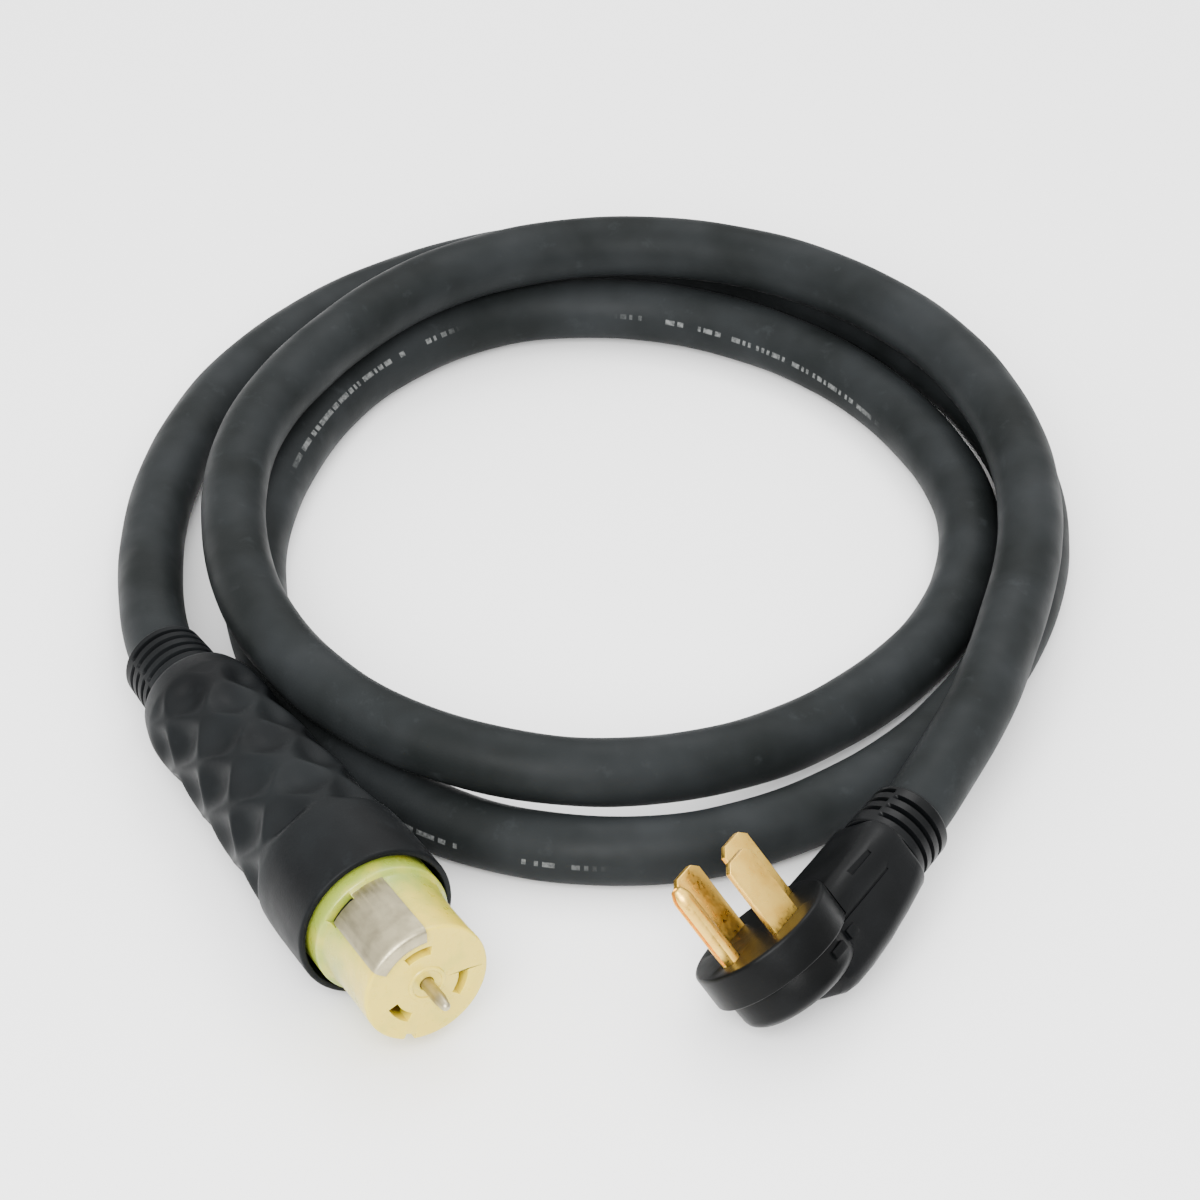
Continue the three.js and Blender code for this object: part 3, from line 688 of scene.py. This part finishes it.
def rubber(name, dark, light, rough, specular, printed=False):
    """Satin rubber with soft blotches, dusty scuffs and a fine grain."""
    finish = Finish(name)
    blotch = finish.ranged(finish.noise(28, 3), 0.35, 0.68)
    color = finish.mix(blotch, dark, light)
    scuff = finish.ranged(finish.noise(120, 4, roughness=0.65), 0.6, 0.78, 0.0, 0.35)
    color = finish.mix(scuff, color, tuple(min(1, c * 1.9) for c in light[:3]) + (1,))
    if printed:
        cell = finish.math("FLOOR", finish.math("DIVIDE", finish.attribute("along"), 1.3))
        gaps = finish.node("ShaderNodeTexWhiteNoise", {"W": cell}, noise_dimensions="1D")
        dash = finish.math("GREATER_THAN", gaps, 0.38)
        word = finish.math("FLOOR", finish.math("DIVIDE", finish.attribute("along"), 9.1))
        words = finish.node("ShaderNodeTexWhiteNoise", {"W": word}, noise_dimensions="1D")
        across = finish.math("ABSOLUTE", finish.attribute("print_across"))
        row = finish.ranged(across, 0.75, 1.15, 1.0, 0.0)
        ink = finish.math("MULTIPLY", finish.math("MULTIPLY", dash, row), finish.attribute("print_on"))
        ink = finish.math("MULTIPLY", ink, finish.math("GREATER_THAN", words, 0.12))
        worn = finish.ranged(finish.noise(700, 2), 0.35, 0.6, 0.2, 0.6)
        color = finish.mix(finish.math("MULTIPLY", ink, worn), color, linear(120, 122, 121))
    grain = finish.bump(finish.noise(1500, 3), 0.00012, 0.35)
    waves = finish.bump(finish.noise(75, 2), 0.0005, 0.3, under=grain)
    shine = finish.ranged(finish.noise(60, 4), 0.3, 0.7, rough - 0.07, rough + 0.09)
    finish.fill(finish.surface, {
        "Base Color": color, "Roughness": shine, "Specular IOR Level": specular, "Normal": waves})
    return finish.material


def nylon(name, pale, deep, depth):
    """Pale, slightly translucent moulded nylon, deeper in colour towards the rubber."""
    finish = Finish(name)
    spot = finish.node("ShaderNodeSeparateXYZ", {"Vector": finish.place()})
    back = finish.ranged(spot, -0.002, -0.034)
    cloud = finish.ranged(finish.noise(130, 3), 0.3, 0.75, -0.25, 0.3)
    color = finish.mix(finish.math("ADD", back, cloud), pale, deep)
    finish.fill(finish.surface, {
        "Base Color": color,
        "Roughness": finish.ranged(finish.noise(300, 3), 0.3, 0.7, 0.24, 0.38),
        "Subsurface Weight": depth,
        "Subsurface Radius": (1.0, 0.9, 0.45),
        "Subsurface Scale": 0.004,
        "Coat Weight": 0.15,
        "Normal": finish.bump(finish.noise(240, 2), 0.0002, 0.25),
    })
    return finish.material


def metal(name, bright, dull, rough, stretch):
    """Drawn and stamped metal: fine brushing in one direction, and cloudy dulling."""
    finish = Finish(name)
    brushing = finish.noise(900, 3, stretch=stretch)
    tarnish = finish.ranged(finish.noise(160, 4), 0.42, 0.72)
    finish.fill(finish.surface, {
        "Base Color": finish.mix(tarnish, bright, dull),
        "Metallic": 1.0,
        "Roughness": finish.ranged(brushing, 0.3, 0.7, rough - 0.08, rough + 0.12),
        "Normal": finish.bump(brushing, 0.00001, 0.15),
    })
    return finish.material


def insulation(name, color):
    """Extruded wire insulation or twisted filler."""
    finish = Finish(name)
    shade = finish.ranged(finish.noise(220, 3), 0.3, 0.7)
    darker = tuple(c * 0.7 for c in color[:3]) + (1.0,)
    finish.fill(finish.surface, {
        "Base Color": finish.mix(shade, color, darker), "Roughness": 0.45,
        "Normal": finish.bump(finish.noise(800, 2), 0.0001, 0.4)})
    return finish.material


FINISHES = {
    "cord_rubber": rubber("cord_rubber", linear(27, 29, 29), linear(38, 40, 41), 0.52, 0.06, printed=True),
    "moulded_rubber": rubber("moulded_rubber", linear(17, 18, 19), linear(26, 28, 29), 0.46, 0.08),
    "nose_nylon": nylon("nose_nylon", linear(204, 181, 56), linear(132, 146, 52), 0.4),
    "inner_nylon": nylon("inner_nylon", linear(150, 142, 100), linear(110, 104, 70), 0.1),
    "brass": metal("brass", linear(234, 192, 92), linear(220, 172, 74), 0.32, (1, 1, 0.05)),
    "plated_metal": metal("plated_metal", linear(172, 163, 134), linear(140, 132, 108), 0.4, (0.05, 1, 1)),
    "wire_black": insulation("wire_black", linear(30, 30, 31)),
    "wire_red": insulation("wire_red", linear(170, 30, 26)),
    "wire_white": insulation("wire_white", linear(225, 224, 216)),
    "wire_green": insulation("wire_green", linear(45, 120, 62)),
    "filler": insulation("filler", linear(178, 152, 104)),
}

# the plug is moulded in a polished tool and is a little glossier than the connector
PLUG_RUBBER = rubber("moulded_rubber_polished", linear(10, 11, 11), linear(17, 18, 19), 0.36, 0.1)

# ---- The pieces in place ----


def fit(item, slot, *nodes, at=None, finish=None):
    """Puts a detailed piece in place of its CAD nodes."""
    if at is not None:
        item.matrix_world = at
    item.data.materials.clear()
    item.data.materials.append(finish or FINISHES[slot])
    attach(item, "root")
    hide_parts(*nodes)
    return item


def make_connector():
    fit(make_connector_overmould(), "moulded_rubber", "connector_overmould", at=CONNECTOR)
    relief = make_relief("connector_relief", CONNECTOR_RELIEF_REAR, -176, 14.8, 15.6,
                         (-194.5, -189.9, -185.3, -180.7), 2.3)
    fit(relief, "moulded_rubber", "connector_strain_relief", at=CONNECTOR)
    fit(make_nose(), "nose_nylon", "connector_nose", at=CONNECTOR)
    fit(make_ground_strip(), "plated_metal", "connector_ground_strip", at=CONNECTOR)
    fit(make_pin(), "plated_metal", "connector_centre_pin", at=CONNECTOR)
    # painted shadow: a dark rubber piece that darkens the bottom of the slot behind the ground strip
    shadow_block = make_slot_shadow_piece()
    shadow_block.matrix_world = CONNECTOR
    shadow_block.data.materials.append(FINISHES["moulded_rubber"])
    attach(shadow_block, "root")


def make_plug():
    """The plug's pieces, all on the cord's far end."""
    relief = make_relief("plug_relief", 57.3, PLUG_RELIEF_END, 14.9, 14.5, (61.5, 66.2, 70.9), 2.35)
    relief.data.transform(Matrix.Translation((0, CORD_DEPTH * MM, 0)))
    pieces = [
        fit(make_plug_overmould(), "moulded_rubber", "plug_overmould", at=PLUG, finish=PLUG_RUBBER),
        fit(relief, "moulded_rubber", "plug_strain_relief", at=PLUG, finish=PLUG_RUBBER),
        fit(make_plug_face(), "moulded_rubber", "plug_face", at=PLUG, finish=PLUG_RUBBER),
        fit(make_ground_pin(), "brass", "ground_pin", at=PLUG),
    ]
    for node in ("hot_blade_1", "hot_blade_2", "neutral_blade"):
        pieces.append(fit(eased_copy(node, 0.2), "brass", node))
    return pieces


fit(cord, "cord_rubber", "cord_jacket")
make_connector()
plug_pieces = make_plug()
slots = {row["node"]: row["material_slot"] for row in frame["record"]["subparts"]}
for node, item in frame["nodes"].items():
    for place in item.material_slots:
        place.material = FINISHES[slots[node]]

# ---- Floor and light ----

# (place in metres, width in metres, power in watts)
LIGHTS = (((-0.2, -1.5, 1.25), 1.2, 75), ((0.3, 0.9, 1.6), 0.9, 14))
SKY_AT_HORIZON = 0.45
SKY_OVERHEAD = 3.4
FLOOR_HALF = 4.0


def make_floor():
    half = FLOOR_HALF
    floor = add_mesh("floor", [(-half, -half, 0), (half, -half, 0), (half, half, 0), (-half, half, 0)],
                     [(0, 1, 2, 3)], smooth=False)
    finish = Finish("floor")
    shade = finish.ranged(finish.noise(3, 2), 0.0, 1.0, 0.90, 0.93)
    finish.fill(finish.surface, {
        "Base Color": finish.node("ShaderNodeCombineColor", {"Red": shade, "Green": shade, "Blue": shade}),
        "Roughness": 0.9, "Specular IOR Level": 0.1})
    floor.data.materials.append(finish.material)


def make_sky():
    """A white sky that is brightest overhead."""
    world = bpy.data.worlds.new("world")
    bpy.context.scene.world = world
    world.use_nodes = True
    sky = world.node_tree.nodes["Background"]
    spot = world.node_tree.nodes.new("ShaderNodeTexCoord")
    parts = world.node_tree.nodes.new("ShaderNodeSeparateXYZ")
    glow = world.node_tree.nodes.new("ShaderNodeMapRange")
    glow.inputs["To Min"].default_value = SKY_AT_HORIZON
    glow.inputs["To Max"].default_value = SKY_OVERHEAD
    world.node_tree.links.new(spot.outputs["Generated"], parts.inputs["Vector"])
    world.node_tree.links.new(parts.outputs["Z"], glow.inputs["Value"])
    world.node_tree.links.new(glow.outputs["Result"], sky.inputs["Strength"])
    sky.inputs["Color"].default_value = (1, 1, 1, 1)


def make_lights():
    for place, size, energy in LIGHTS:
        data = bpy.data.lights.new("softbox", "AREA")
        data.size = size
        data.energy = energy
        lamp = bpy.data.objects.new("softbox", data)
        lamp.location = place
        lamp.rotation_euler = (-Vector(place)).to_track_quat("-Z", "Y").to_euler()
        bpy.context.collection.objects.link(lamp)


make_floor()
make_sky()
make_lights()
